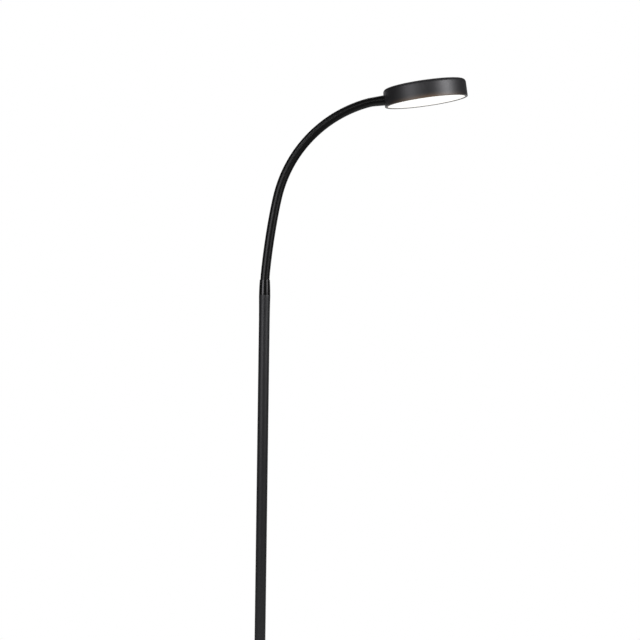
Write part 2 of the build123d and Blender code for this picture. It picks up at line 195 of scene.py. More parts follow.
# Shader helpers
def addNode(tree, kind, values=None, **settings):
    node = tree.nodes.new(kind)
    for key, value in settings.items():
        setattr(node, key, value)
    for key, value in (values or {}).items():
        connect(tree, value, node.inputs[key])
    return node


def connect(tree, value, socket):
    if isinstance(value, bpy.types.NodeSocket):
        tree.links.new(value, socket)
    else:
        socket.default_value = value


def calculate(tree, operation, a, b=0.0, clamp=False):
    return addNode(
        tree, "ShaderNodeMath", {0: a, 1: b}, operation=operation, use_clamp=clamp
    ).outputs[0]


def vectorMath(tree, operation, a, b=None):
    values = {0: a} if b is None else {0: a, 1: b}
    return addNode(tree, "ShaderNodeVectorMath", values, operation=operation).outputs


def remap(tree, value, low, high, newLow, newHigh):
    values = {"Value": value, "From Min": low, "From Max": high}
    values |= {"To Min": newLow, "To Max": newHigh}
    return addNode(tree, "ShaderNodeMapRange", values).outputs["Result"]


def mixColors(tree, share, a, b, blending="MIX"):
    node = addNode(tree, "ShaderNodeMix", data_type="RGBA", blend_type=blending)
    connect(tree, share, node.inputs[0])
    connect(tree, a, node.inputs[6])
    connect(tree, b, node.inputs[7])
    return node.outputs[2]


# Lightens or darkens a colour by the same share in all three channels
def applyGain(tree, color, gain):
    level = addNode(tree, "ShaderNodeCombineColor", {0: gain, 1: gain, 2: gain}).outputs[0]
    return mixColors(tree, 1.0, color, level, "MULTIPLY")


def noise(tree, vector, scale, detail=2.0, roughness=0.5):
    values = {"Vector": vector, "Scale": scale, "Detail": detail, "Roughness": roughness}
    return addNode(tree, "ShaderNodeTexNoise", values).outputs["Fac"]


def objectPoint(tree):
    return addNode(tree, "ShaderNodeTexCoord").outputs["Object"]


def makeGroup(name, inputs, outputs):
    group = bpy.data.node_groups.new(name, "ShaderNodeTree")
    for label, kind, value in inputs:
        socket = group.interface.new_socket(name=label, in_out="INPUT", socket_type=kind)
        socket.default_value = value
    for label, kind in outputs:
        group.interface.new_socket(name=label, in_out="OUTPUT", socket_type=kind)
    given = group.nodes.new("NodeGroupInput")
    made = group.nodes.new("NodeGroupOutput")
    return group, given.outputs, made.inputs


# Fine grain, with patches a little lighter and duller than the rest
def makeSurfaceGrain():
    group, given, made = makeGroup(
        "surfaceGrain",
        [
            ("Color", "NodeSocketColor", (0.5, 0.5, 0.5, 1)),
            ("Tone Spread", "NodeSocketFloat", 0.1),
            ("Roughness", "NodeSocketFloat", 0.5),
            ("Roughness Spread", "NodeSocketFloat", 0.05),
            ("Grain Size", "NodeSocketFloat", 0.0005),
            ("Patch Size", "NodeSocketFloat", 0.05),
        ],
        [
            ("Color", "NodeSocketColor"),
            ("Roughness", "NodeSocketFloat"),
            ("Height", "NodeSocketFloat"),
        ],
    )
    grainShare = 0.35
    middle = 0.67  # what the patches and their share of grain come to on average
    point = objectPoint(group)
    grain = noise(group, point, calculate(group, "DIVIDE", 1.0, given["Grain Size"]), 3.0)
    patches = noise(group, point, calculate(group, "DIVIDE", 1.0, given["Patch Size"]), 4.0, 0.6)
    both = calculate(group, "ADD", calculate(group, "MULTIPLY", grain, grainShare), patches)
    offset = calculate(group, "SUBTRACT", both, middle)
    spread = calculate(group, "MULTIPLY", given["Tone Spread"], 2.0)
    gain = calculate(group, "ADD", calculate(group, "MULTIPLY", offset, spread), 1.0)
    connect(group, applyGain(group, given["Color"], gain), made["Color"])
    dulling = calculate(group, "MULTIPLY", offset, given["Roughness Spread"])
    rough = calculate(group, "ADD", given["Roughness"], dulling, clamp=True)
    connect(group, rough, made["Roughness"])
    connect(group, grain, made["Height"])
    return group


# Marks left by turning and drawing, long along Z and narrow across it
def makeMachinedMarks():
    group, given, made = makeGroup(
        "machinedMarks",
        [
            ("Color", "NodeSocketColor", (0.5, 0.5, 0.5, 1)),
            ("Tone Spread", "NodeSocketFloat", 0.15),
            ("Roughness", "NodeSocketFloat", 0.35),
            ("Roughness Spread", "NodeSocketFloat", 0.1),
            ("Mark Width", "NodeSocketFloat", 0.0003),
            ("Stretch", "NodeSocketFloat", 0.04),
        ],
        [
            ("Color", "NodeSocketColor"),
            ("Roughness", "NodeSocketFloat"),
            ("Height", "NodeSocketFloat"),
        ],
    )
    stretch = addNode(group, "ShaderNodeCombineXYZ", {0: 1.0, 1: 1.0, 2: given["Stretch"]})
    point = vectorMath(group, "MULTIPLY", objectPoint(group), stretch.outputs[0])[0]
    marks = noise(group, point, calculate(group, "DIVIDE", 1.0, given["Mark Width"]), 4.0, 0.7)
    offset = calculate(group, "SUBTRACT", marks, 0.5)
    gain = calculate(group, "ADD", calculate(group, "MULTIPLY", offset, given["Tone Spread"]), 1.0)
    connect(group, applyGain(group, given["Color"], gain), made["Color"])
    dulling = calculate(group, "MULTIPLY", offset, given["Roughness Spread"])
    rough = calculate(group, "ADD", given["Roughness"], dulling, clamp=True)
    connect(group, rough, made["Roughness"])
    connect(group, marks, made["Height"])
    return group


# Where an outer edge has been rubbed
def makeEdgeWear():
    group, given, made = makeGroup(
        "edgeWear",
        [
            ("Start", "NodeSocketFloat", 0.52),
            ("End", "NodeSocketFloat", 0.62),
            ("Breakup Size", "NodeSocketFloat", 0.004),
        ],
        [("Mask", "NodeSocketFloat")],
    )
    sharpness = addNode(group, "ShaderNodeNewGeometry").outputs["Pointiness"]
    edge = remap(group, sharpness, given["Start"], given["End"], 0.0, 1.0)
    size = calculate(group, "DIVIDE", 1.0, given["Breakup Size"])
    broken = remap(group, noise(group, objectPoint(group), size, 4.0), 0.4, 0.65, 0.0, 1.0)
    connect(group, calculate(group, "MULTIPLY", edge, broken, clamp=True), made["Mask"])
    return group


# A film of dust on whatever faces up
def makeSettledDust():
    group, given, made = makeGroup(
        "settledDust",
        [
            ("Amount", "NodeSocketFloat", 0.1),
            ("Patch Size", "NodeSocketFloat", 0.02),
        ],
        [("Mask", "NodeSocketFloat")],
    )
    normal = addNode(group, "ShaderNodeNewGeometry").outputs["Normal"]
    upward = addNode(group, "ShaderNodeSeparateXYZ", {0: normal}).outputs["Z"]
    facing = remap(group, upward, 0.55, 1.0, 0.0, 1.0)
    size = calculate(group, "DIVIDE", 1.0, given["Patch Size"])
    patches = remap(group, noise(group, objectPoint(group), size, 6.0, 0.7), 0.35, 0.75, 0.15, 1.0)
    film = calculate(group, "MULTIPLY", facing, patches)
    connect(group, calculate(group, "MULTIPLY", film, given["Amount"], clamp=True), made["Mask"])
    return group


surfaceGrain = makeSurfaceGrain()
machinedMarks = makeMachinedMarks()
edgeWear = makeEdgeWear()
settledDust = makeSettledDust()


def placeGroup(tree, group, values):
    return addNode(tree, "ShaderNodeGroup", values, node_tree=group).outputs


def startMaterial(name, **sockets):
    material = bpy.data.materials.new(name)
    material.use_nodes = True
    shader = material.node_tree.nodes["Principled BSDF"]
    for key, value in sockets.items():
        shader.inputs[key.replace("_", " ")].default_value = value
    return material, material.node_tree, shader.inputs


def addBump(tree, shader, height, strength, distance):
    values = {"Height": height, "Strength": strength, "Distance": distance}
    connect(tree, addNode(tree, "ShaderNodeBump", values).outputs["Normal"], shader["Normal"])


# How far a point of the light lies from its axis, and how high above its lower rim
def lightPlace(tree):
    fromRim = vectorMath(tree, "SUBTRACT", objectPoint(tree), rimCentre)[0]
    height = vectorMath(tree, "DOT_PRODUCT", fromRim, headUp)["Value"]
    along = vectorMath(tree, "PROJECT", fromRim, headUp)[0]
    across = vectorMath(tree, "SUBTRACT", fromRim, along)[0]
    return vectorMath(tree, "LENGTH", across)["Value"], height


def grey(level):
    return (level, level, level, 1)


coatedWear = {"Start": 0.53, "End": 0.66, "Breakup Size": 0.003}
metalWear = {"Start": 0.52, "End": 0.62, "Breakup Size": 0.002}
metalMarks = {"roughnessSpread": 0.15, "wear": 0.4, "bumpStrength": 0.25, "bumpDepth": 0.00002}
dustFilm = {"color": (0.32, 0.31, 0.29, 1), "patchSize": 0.018}


# Paint, rubber and moulded plastic: a grain, worn edges and dust
def coatedLook(name, look):
    material, tree, shader = startMaterial(name, **look.get("sockets", {}))
    grain = placeGroup(
        tree,
        surfaceGrain,
        {
            "Color": look["color"],
            "Tone Spread": look["toneSpread"],
            "Roughness": look["roughness"],
            "Roughness Spread": look["roughnessSpread"],
            "Grain Size": look["grainSize"],
            "Patch Size": look["patchSize"],
        },
    )
    wear = placeGroup(tree, edgeWear, coatedWear)["Mask"]
    wear = calculate(tree, "MULTIPLY", wear, look["wear"])
    color = mixColors(tree, wear, grain["Color"], look["wornColor"])
    amounts = {"Amount": look["dust"], "Patch Size": dustFilm["patchSize"]}
    dust = placeGroup(tree, settledDust, amounts)["Mask"]
    color = mixColors(tree, dust, color, dustFilm["color"])
    connect(tree, color, shader["Base Color"])
    connect(tree, calculate(tree, "ADD", grain["Roughness"], dust, clamp=True), shader["Roughness"])
    addBump(tree, shader, grain["Height"], look["bumpStrength"], look["bumpDepth"])
    return material, tree, shader


# Steel and aluminium, as drawn or turned
def metalLook(name, look):
    material, tree, shader = startMaterial(name, Metallic=1.0)
    marks = placeGroup(
        tree,
        machinedMarks,
        {
            "Color": look["color"],
            "Tone Spread": look["toneSpread"],
            "Roughness": look["roughness"],
            "Roughness Spread": metalMarks["roughnessSpread"],
            "Mark Width": look["markWidth"],
            "Stretch": look["stretch"],
        },
    )
    wear = placeGroup(tree, edgeWear, metalWear)["Mask"]
    wear = calculate(tree, "MULTIPLY", wear, metalMarks["wear"])
    connect(tree, mixColors(tree, wear, marks["Color"], grey(0.85)), shader["Base Color"])
    connect(tree, marks["Roughness"], shader["Roughness"])
    addBump(tree, shader, marks["Height"], metalMarks["bumpStrength"], metalMarks["bumpDepth"])
    return material


paint = {
    "toneSpread": 0.25,
    "roughnessSpread": 0.08,
    "grainSize": 0.0007,
    "patchSize": 0.06,
    "wear": 0.1,
    "wornColor": grey(0.09),
    "dust": 0.05,
    "bumpStrength": 0.22,
    "bumpDepth": 0.00004,
}
satinPaint = {
    **paint,
    "color": (0.0130, 0.0136, 0.0148, 1),
    "roughness": 0.48,
    "sockets": {"Specular_IOR_Level": 0.75},
}
glossPaint = {
    **paint,
    "color": grey(0.008),
    "roughness": 0.16,
    "grainSize": 0.003,
    "bumpStrength": 0.1,
    "bumpDepth": 0.00003,
}
headPaint = {
    **paint,
    "color": (0.0165, 0.0162, 0.0178, 1),
    "roughness": 0.48,
    "sockets": {"Specular_IOR_Level": 0.9},
}
sleeveVinyl = {
    **paint,
    "color": grey(0.0058),
    "roughness": 0.34,
    "sockets": {"Specular_IOR_Level": 0.36},
    "toneSpread": 0.15,
    "roughnessSpread": 0.06,
    "grainSize": 0.0025,
    "wear": 0.0,
    "dust": 0.02,
    "bumpStrength": 0.1,
    "bumpDepth": 0.00003,
}
softRubber = {
    **paint,
    "color": grey(0.02),
    "roughness": 0.72,
    "grainSize": 0.0004,
    "bumpStrength": 0.5,
    "bumpDepth": 0.00008,
    "wornColor": grey(0.05),
}
mouldedPlastic = {
    **paint,
    "color": grey(0.022),
    "roughness": 0.48,
    "grainSize": 0.00035,
    "bumpStrength": 0.35,
    "bumpDepth": 0.00005,
}
castIron = {
    **paint,
    "color": (0.09, 0.088, 0.085, 1),
    "roughness": 0.68,
    "toneSpread": 0.6,
    "grainSize": 0.0012,
    "patchSize": 0.02,
    "wear": 0.5,
    "wornColor": grey(0.25),
    "bumpStrength": 0.8,
    "bumpDepth": 0.0003,
    "sockets": {"Metallic": 0.6},
}
whitePlastic = {
    **mouldedPlastic,
    "color": (0.82, 0.82, 0.8, 1),
    "toneSpread": 0.06,
    "wornColor": grey(0.9),
    "dust": 0.0,
}
steel = {
    "color": (0.58, 0.58, 0.59, 1),
    "toneSpread": 0.4,
    "roughness": 0.34,
    "markWidth": 0.0003,
    "stretch": 0.03,
}
light = {
    "tipLength": 0.027,  # from the last pivot to the light's wall
    "entryHeight": 0.0125,
    "height": 0.031,
    "wall": 0.0022,
    "shoulder": 0.0065,
    "rimRound": 0.0008,
    "lipWidth": 0.0024,
    "lipHeight": 0.0008,
    "diffuserThickness": 0.002,
    "fitGap": 0.0004,
    # These settings paint a warm glow onto the housing's wall as emission. The wall is no lamp, and the glow
    # stands in for light spilling from the rim
    "paintedGlowHeight": 0.0095,
    "paintedGlowFall": 2.0,  # a higher number keeps the painted glow nearer to the rim
    "paintedGlowSides": 3.0,  # and here nearer to the two sides
    "paintedGlowSkin": (0.0012, 0.0004),  # only the outer wall gets the painted glow, not what lies deeper than this
    "paintedGlowColor": (1.0, 0.6, 0.3, 1),
    "glowStrength": 0.12,
}
rimCentre = (
    pivots[-1]
    + headForward * (light["tipLength"] + headRadius)
    - headUp * light["entryHeight"]
)
headTurn = Matrix((headForward, sideways, headUp)).transposed().to_4x4()
headPlace = Matrix.Translation(rimCentre) @ headTurn


# Painted glow: warm emission on the foot of the housing's wall stands in for light spilling round the rim, most at
# the two sides
def headLook():
    material, tree, shader = coatedLook("head_paint", headPaint)
    distance, height = lightPlace(tree)
    glow = remap(tree, height, light["paintedGlowHeight"], 0.0, 0.0, 1.0)
    glow = calculate(tree, "POWER", glow, light["paintedGlowFall"])
    across = addNode(tree, "ShaderNodeSeparateXYZ", {0: objectPoint(tree)}).outputs["Y"]
    toSide = calculate(tree, "ABSOLUTE", calculate(tree, "DIVIDE", across, headRadius))
    glow = calculate(tree, "MULTIPLY", glow, calculate(tree, "POWER", toSide, light["paintedGlowSides"]))
    deep, shallow = light["paintedGlowSkin"]
    outside = remap(tree, distance, headRadius - deep, headRadius - shallow, 0.0, 1.0)
    glow = calculate(tree, "MULTIPLY", glow, outside, clamp=True)
    # painted glow: emission on the housing's paint, not light from a lamp
    color = mixColors(tree, glow, (0, 0, 0, 1), light["paintedGlowColor"])
    connect(tree, color, shader["Emission Color"])
    shader["Emission Strength"].default_value = light["glowStrength"]
    return material


opal = {
    "roughness": 0.35,
    "glowStrength": 0.78,
    "edgeStart": 0.8,  # shares of the light's radius between which the glow turns warmer
    "edgeEnd": 0.96,
    "middleGlow": (1.0, 0.985, 0.955, 1),
    "edgeGlow": (1.0, 0.95, 0.86, 1),
    "colors": (grey(0.78), grey(0.84)),
    "cloudScale": 60.0,
}


def opalLook():
    material, tree, shader = startMaterial(
        "opal_acrylic", Roughness=opal["roughness"], Emission_Strength=opal["glowStrength"]
    )
    distance = lightPlace(tree)[0]
    low, high = headRadius * opal["edgeStart"], headRadius * opal["edgeEnd"]
    edge = remap(tree, distance, low, high, 0.0, 1.0)
    cloud = noise(tree, objectPoint(tree), opal["cloudScale"], 2.0)
    edge = calculate(tree, "MULTIPLY", edge, calculate(tree, "ADD", cloud, 0.4), clamp=True)
    glow = mixColors(tree, edge, opal["middleGlow"], opal["edgeGlow"])
    connect(tree, glow, shader["Emission Color"])
    connect(tree, mixColors(tree, cloud, *opal["colors"]), shader["Base Color"])
    return material


clearAcrylic = {
    "clearness": 0.9,
    "glassIndex": 1.49,
    "glowStrength": 0.35,
    "colors": ((0.9, 0.95, 0.95, 1), grey(1.0)),
    "glowColors": ((1, 0.95, 0.85, 1), (1, 0.97, 0.9, 1)),
    "roughness": (0.04, 0.1),
    "cloudScale": 90.0,
}


def clearLook():
    material, tree, shader = startMaterial(
        "clear_acrylic",
        Transmission_Weight=clearAcrylic["clearness"],
        IOR=clearAcrylic["glassIndex"],
        Emission_Strength=clearAcrylic["glowStrength"],
    )
    cloud = noise(tree, objectPoint(tree), clearAcrylic["cloudScale"], 3.0)
    connect(tree, mixColors(tree, cloud, *clearAcrylic["colors"]), shader["Base Color"])
    connect(tree, remap(tree, cloud, 0.3, 0.7, *clearAcrylic["roughness"]), shader["Roughness"])
    connect(tree, mixColors(tree, cloud, *clearAcrylic["glowColors"]), shader["Emission Color"])
    return material


phosphor = {
    "roughness": 0.4,
    "glowStrength": 2.0,
    "colors": ((0.9, 0.62, 0.12, 1), (0.95, 0.75, 0.25, 1)),
    "glowColors": ((1, 0.85, 0.6, 1), (1, 0.92, 0.75, 1)),
    "cloudScale": 900.0,
}


def ledLook():
    material, tree, shader = startMaterial(
        "led_phosphor", Roughness=phosphor["roughness"], Emission_Strength=phosphor["glowStrength"]
    )
    cloud = noise(tree, objectPoint(tree), phosphor["cloudScale"], 2.0)
    connect(tree, mixColors(tree, cloud, *phosphor["colors"]), shader["Base Color"])
    connect(tree, mixColors(tree, cloud, *phosphor["glowColors"]), shader["Emission Color"])
    return material


laminate = {
    "lacquer": 0.4,
    "trackScale": 260.0,
    "trackEdge": (0.30, 0.34),
    "colors": ((0.012, 0.11, 0.045, 1), (0.02, 0.17, 0.07, 1)),  # of the gaps and the tracks
    "roughness": (0.28, 0.45),
    "clothScale": 500.0,
    "bumpStrength": 0.3,
    "bumpDepth": 0.00004,
}


# Green laminate with copper tracks under the lacquer
def boardLook():
    material, tree, shader = startMaterial("board_laminate", Coat_Weight=laminate["lacquer"])
    point = objectPoint(tree)
    values = {"Vector": point, "Scale": laminate["trackScale"]}
    cells = addNode(tree, "ShaderNodeTexVoronoi", values, distance="MANHATTAN").outputs["Distance"]
    tracks = remap(tree, cells, *laminate["trackEdge"], 0.0, 1.0)
    connect(tree, mixColors(tree, tracks, *laminate["colors"]), shader["Base Color"])
    cloth = noise(tree, point, laminate["clothScale"])
    connect(tree, remap(tree, cloth, 0.3, 0.7, *laminate["roughness"]), shader["Roughness"])
    addBump(tree, shader, tracks, laminate["bumpStrength"], laminate["bumpDepth"])
    return material


leadJacket = {**softRubber, "color": grey(0.012), "roughness": 0.5}
wireJacket = {**softRubber, "color": (0.45, 0.02, 0.015, 1)}
nylon = {**whitePlastic, "color": (0.7, 0.67, 0.56, 1)}
buttonPlastic = {**mouldedPlastic, "color": grey(0.016)}

looks = {
    "satin_paint": coatedLook("satin_paint", satinPaint)[0],
    "gloss_paint": coatedLook("gloss_paint", glossPaint)[0],
    "head_paint": headLook(),
    "sleeve_vinyl": coatedLook("sleeve_vinyl", sleeveVinyl)[0],
    "weight_iron": coatedLook("weight_iron", castIron)[0],
    "pad_rubber": coatedLook("pad_rubber", softRubber)[0],
    "grommet_rubber": coatedLook("grommet_rubber", {**softRubber, "roughness": 0.6})[0],
    "lead_jacket": coatedLook("lead_jacket", leadJacket)[0],
    "wire_jacket": coatedLook("wire_jacket", wireJacket)[0],
    "fitting_steel": metalLook("fitting_steel", steel),
    "screw_steel": metalLook("screw_steel", {**steel, "color": grey(0.5), "roughness": 0.28}),
    "link_steel": metalLook("link_steel", {**steel, "color": grey(0.46), "roughness": 0.4}),
    "carrier_aluminium": metalLook("carrier_aluminium", {**steel, "color": (0.8, 0.8, 0.82, 1)}),
    "white_film": coatedLook("white_film", {**whitePlastic, "roughness": 0.6})[0],
    "strip_white": coatedLook("strip_white", whitePlastic)[0],
    "clear_acrylic": clearLook(),
    "opal_acrylic": opalLook(),
    "led_phosphor": ledLook(),
    "board_laminate": boardLook(),
    "connector_nylon": coatedLook("connector_nylon", nylon)[0],
    "switch_plastic": coatedLook("switch_plastic", mouldedPlastic)[0],
    "button_plastic": coatedLook("button_plastic", buttonPlastic)[0],
}
for row in frame["record"]["subparts"]:
    data = frame["nodes"][row["node"]].data
    data.materials.clear()
    data.materials.append(looks[row["material_slot"]])
print("materials made:", len(looks))

# Base
base = {
    "padInset": 0.003,
    "padThickness": 0.002,
    "padEdge": 0.0004,
    "ribCount": 5,
    "ribPitch": 0.016,
    "ribWidth": 0.004,
    "ribDepth": 0.0006,
    "coverLow": 0.0012,
    "coverWall": 0.0015,
    "coverEdge": 0.003,
    "coverHole": 0.0062,
    "ringRadius": 0.017,
    "ringHeight": 0.005,
    "ringEdge": 0.0015,
    "ringBoreEdge": 0.0004,
    "ringBore": poleRadius + 0.00005,
}


def makeBase():
    padRadius = baseRadius - base["padInset"]
    corners = [(0, 0, 0)]
    for n in range(base["ribCount"]):  # shallow grooves under the pad give it grip
        middle = padRadius - base["ribPitch"] * (base["ribCount"] - n)
        low, high = middle - base["ribWidth"] / 2, middle + base["ribWidth"] / 2
        depth = base["ribDepth"]
        corners += [(low, 0, 0), (low + depth, depth, 0), (high - depth, depth, 0), (high, 0, 0)]
    corners += [(padRadius, 0, base["padEdge"]), (padRadius, base["padThickness"], softEdge)]
    corners += [(0, base["padThickness"], 0)]
    outline = roundCorners(corners, closed=False)
    pad = addPiece("basePad", lathe(outline, closed=False), "pad_rubber")
    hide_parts("base_pad")

    inside = baseRadius - base["coverWall"]
    ceiling = baseTop - base["coverWall"]
    corners = [
        (baseRadius, base["coverLow"], softEdge),
        (baseRadius, baseTop, base["coverEdge"]),
        (base["coverHole"], baseTop, fineEdge),
        (base["coverHole"], ceiling, 0),
        (inside, ceiling, base["coverEdge"] - base["coverWall"]),
        (inside, base["coverLow"], softEdge),
    ]
    cover = addPiece("baseCover", lathe(roundCorners(corners, steps=10), around=192), "satin_paint")
    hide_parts("base_cover")

    corners = [
        (base["ringRadius"], baseTop, fineEdge),
        (base["ringRadius"], baseTop + base["ringHeight"], base["ringEdge"]),
        (base["ringBore"], baseTop + base["ringHeight"], base["ringBoreEdge"]),
        (base["ringBore"], baseTop, 0),
    ]
    ring = addPiece("footRing", lathe(roundCorners(corners, steps=10)), "satin_paint")
    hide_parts("foot_ring")
    for piece in (pad, cover, ring):
        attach(piece, "stand")
    return cover


grommet = {
    "height": 0.007,
    "bore": 0.00205,
    "neck": 0.003,
    "flange": 0.004,
    "flangeThickness": 0.0015,
    "flangeEdge": 0.0007,
    "boreEdge": 0.0004,
    "wallGap": 0.00005,
}


def makeGrommet(cover):
    inner = -base["coverWall"] - grommet["wallGap"]
    flange, neck = grommet["flange"], grommet["neck"]
    thick = grommet["flangeThickness"]
    corners = [
        (grommet["bore"], -base["coverWall"] - thick, fineEdge),
        (flange, -base["coverWall"] - thick, softEdge),
        (flange, inner, 0),
        (neck, inner, 0),
        (neck, grommet["wallGap"], 0),
        (flange, grommet["wallGap"], 0),
        (flange, thick, grommet["flangeEdge"]),
        (grommet["bore"], thick, grommet["boreEdge"]),
    ]
    turn = Matrix.Rotation(radians(-90), 4, "Y")
    outwards = Matrix.Translation((-baseRadius, 0, grommet["height"])) @ turn
    hole = neck + grommet["wallGap"]
    outline = [(0, -thick * 2), (hole, -thick * 2), (hole, thick), (0, thick)]
    cutter = lathe(outline, around=48, closed=False)
    cutAway(cover, cutter, outwards)
    rubber = lathe(roundCorners(corners), around=64)
    piece = addPiece("leadGrommet", rubber, "grommet_rubber", outwards)
    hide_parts("lead_grommet")
    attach(piece, "stand")


makeGrommet(makeBase())
print("base made")

# Pole
pole = {
    "wall": 0.0012,
    "edge": 0.00025,
    "flareLength": 0.05,
    "flareSteps": 16,
}


def makePole():
    bore = poleRadius - pole["wall"]
    edge = pole["edge"]
    corners = [
        (poleRadius, baseTop, edge),
        (poleRadius, tubeJoint, edge),
        (bore, tubeJoint, 0),
        (bore, baseTop, 0),
    ]
    lower = addPiece("lowerTube", lathe(roundCorners(corners, steps=3)), "satin_paint")
    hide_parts("lower_tube")

    growth = poleTopRadius - poleRadius
    flareLow = poleTop - pole["flareLength"]
    shares = [n / pole["flareSteps"] for n in range(pole["flareSteps"] + 1)]
    flare = [(growth * s * s, flareLow + pole["flareLength"] * s) for s in shares]
    corners = [(poleRadius, tubeJoint, edge)]
    corners += [(poleRadius + grown, z, 0) for grown, z in flare[:-1]]
    corners += [(poleTopRadius, poleTop, edge)]
    corners += [(bore + grown, z, 0) for grown, z in reversed(flare)]
    corners += [(bore, tubeJoint, 0)]
    upper = addPiece("upperTube", lathe(roundCorners(corners, steps=3)), "satin_paint")
    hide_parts("upper_tube")
    for piece in (lower, upper):
        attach(piece, "stand")


collar = {
    "mouthRadius": 0.0089,
    "mouthBore": 0.0083,
    "mouthDepth": 0.012,
    "threadBore": 0.00505,
    "belly": 0.00022,
    "edge": softEdge,
    "mouthEdge": 0.00025,
    "mouthBoreEdge": 0.00015,
    "plugGap": 0.00005,
    "skinSteps": 20,
}


def makeCollar():
    skinLow = poleTop + collar["edge"]
    seat = collarTop - collar["mouthDepth"]
    plug = poleTopRadius - pole["wall"] - collar["plugGap"]
    plugDrop = (poleTop - collarFoot) / pole["flareLength"]
    plugFoot = poleRadius - pole["wall"] - collar["plugGap"]
    plugFoot += (poleTopRadius - poleRadius) * (1 - plugDrop) ** 2
    corners = [(poleTopRadius, skinLow, 0)]
    for n in range(1, collar["skinSteps"]):
        share = n / collar["skinSteps"]
        straight = poleTopRadius + (collar["mouthRadius"] - poleTopRadius) * share
        swell = collar["belly"] * 4 * share * (1 - share)
        corners.append((straight + swell, skinLow + (collarTop - skinLow) * share, 0))
    corners += [
        (collar["mouthRadius"], collarTop, collar["mouthEdge"]),
        (collar["mouthBore"], collarTop, collar["mouthBoreEdge"]),
        (collar["mouthBore"], seat, 0),
        (collar["threadBore"], seat, 0),
        (collar["threadBore"], collarFoot, 0),
        (plugFoot, collarFoot, softEdge),
        (plug, poleTop, 0),
        (poleTopRadius - collar["edge"], poleTop, 0),
    ]
    piece = addPiece("neckCollar", lathe(roundCorners(corners, steps=5)), "gloss_paint")
    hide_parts("neck_collar")
    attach(piece, "stand")


makePole()
makeCollar()
print("pole and collar made")

# Neck: the sleeve and the lead inside are each made as one piece for each joint, bent round its pivot
neck = {
    "sleeveRadius": 0.008,
    "sleeveWall": 0.0011,
    "sleeveInCollar": 0.0116,
    "leadRadius": 0.002,
    "leadStart": 0.012,  # below the first pivot, and past the last one
    "bendStart": 0.01,  # below the first pivot
    "sleeveSides": 64,
    "leadSides": 24,
    "coneStart": 0.007,
    "coneGrowth": 0.001,
    "wallGap": 0.00005,
    "bendSteps": 18,
    "coneSteps": 10,
    "bendInset": 0.0006,  # so that both rims of a piece follow one link only
}


# A smooth bend from one point to another, tangent to both runs of the corner between
def bendPath(start, corner, end, steps):
    path = []
    for k in range(steps + 1):
        share = k / steps
        point = start.lerp(corner, share).lerp(corner.lerp(end, share), share)
        direction = ((corner - start) * (1 - share) + (end - corner) * share).normalized()
        path.append((point, direction))
    return path


def neckEnds(n, firstStart, lastEnd):
    start = middles[n - 1] if n > 0 else firstStart
    end = middles[n] if n < len(middles) else lastEnd
    return start, end


def blendOverJoint(piece):
    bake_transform(piece)


# The wall that the cone meets is round, so the cone's rim follows it
def trimToHousing(path, piece):
    tipFace = light["tipLength"] + headRadius
    reach = headRadius + neck["wallGap"]
    origin = pivots[-1]
    slack = 1e-6
    end = (path[-1][0] - origin).dot(headForward)
    for vertex in piece.data.vertices:
        along = (vertex.co - origin).dot(headForward)
        if along > end - slack:
            target = tipFace - sqrt(reach**2 - vertex.co.y**2)
            vertex.co += headForward * (target - along)


def makeSleevePiece(n):
    inCollar = Vector((0, 0, collarTop - neck["sleeveInCollar"]))
    bendFoot = Vector((0, 0, pivots[0].z - neck["bendStart"]))
    coneFoot = pivots[-1] + headForward * neck["coneStart"]
    start, end = neckEnds(n, bendFoot, coneFoot)
    path = bendPath(start, pivots[n], end, neck["bendSteps"])
    outer = [neck["sleeveRadius"]] * len(path)
    if n == 0:
        path.insert(0, (inCollar, upwards))
        outer.insert(0, neck["sleeveRadius"])
    if n == len(pivots) - 1:
        length = light["tipLength"] - neck["coneStart"]
        for k in range(1, neck["coneSteps"] + 1):
            share = k / neck["coneSteps"]
            path.append((coneFoot + headForward * length * share, headForward))
            outer.append(neck["sleeveRadius"] + neck["coneGrowth"] * share)
    inner = [radius - neck["sleeveWall"] for radius in outer]
    tube = sweep(path, outer, inner, around=neck["sleeveSides"])
    piece = addPiece(f"neckSleeve{n + 1:02d}", tube, "sleeve_vinyl")
    if n == len(pivots) - 1:
        trimToHousing(path, piece)
    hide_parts("neck_sleeve")
    blendOverJoint(piece)


def makeLeadPiece(n):
    foot = Vector((0, 0, pivots[0].z - neck["leadStart"]))
    tip = pivots[-1] + headForward * neck["leadStart"]
    start, end = neckEnds(n, foot, tip)
    path = bendPath(start, pivots[n], end, neck["bendSteps"])
    outer = [neck["leadRadius"]] * len(path)
    rod = sweep(path, outer, around=neck["leadSides"])
    piece = addPiece(f"neckLead{n + 1:02d}", rod, "lead_jacket")
    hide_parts("neck_lead")
    blendOverJoint(piece)


for n in range(len(pivots)):
    makeSleevePiece(n)
    makeLeadPiece(n)
print("neck made:", len(pivots), "sleeve pieces")

# Light
button = {
    "radius": 0.008,
    "proud": 0.0015,
    "edge": 0.0006,
    "dishRadius": 0.0066,
    "dishDepth": 0.00045,
    "dishFloor": 0.62,  # share of the dish's radius that is flat
    "dishEdge": 0.0008,
    "dishBlend": 0.003,
    "wellGap": 0.0002,
    "flangeRadius": 0.0098,
    "flangeThickness": 0.0019,
    "seatGap": 0.00005,
    "stemRadius": 0.0025,
    "stemFoot": 0.02065,
}
bosses = {
    "radius": 0.0032,
    "pilot": 0.0013,
    "rootRound": 0.0008,
    "rootHollow": 0.3,  # share of the rounding where its middle lies
    "carrierCircle": 0.054,
    "carrierCount": 4,
    "carrierFace": 0.0076,
    "carrierPilotTop": 0.015,
    "boardX": 0.017,
    "boardY": 0.012,
    "boardFace": 0.0161,
    "boardPilotTop": 0.0219,
}


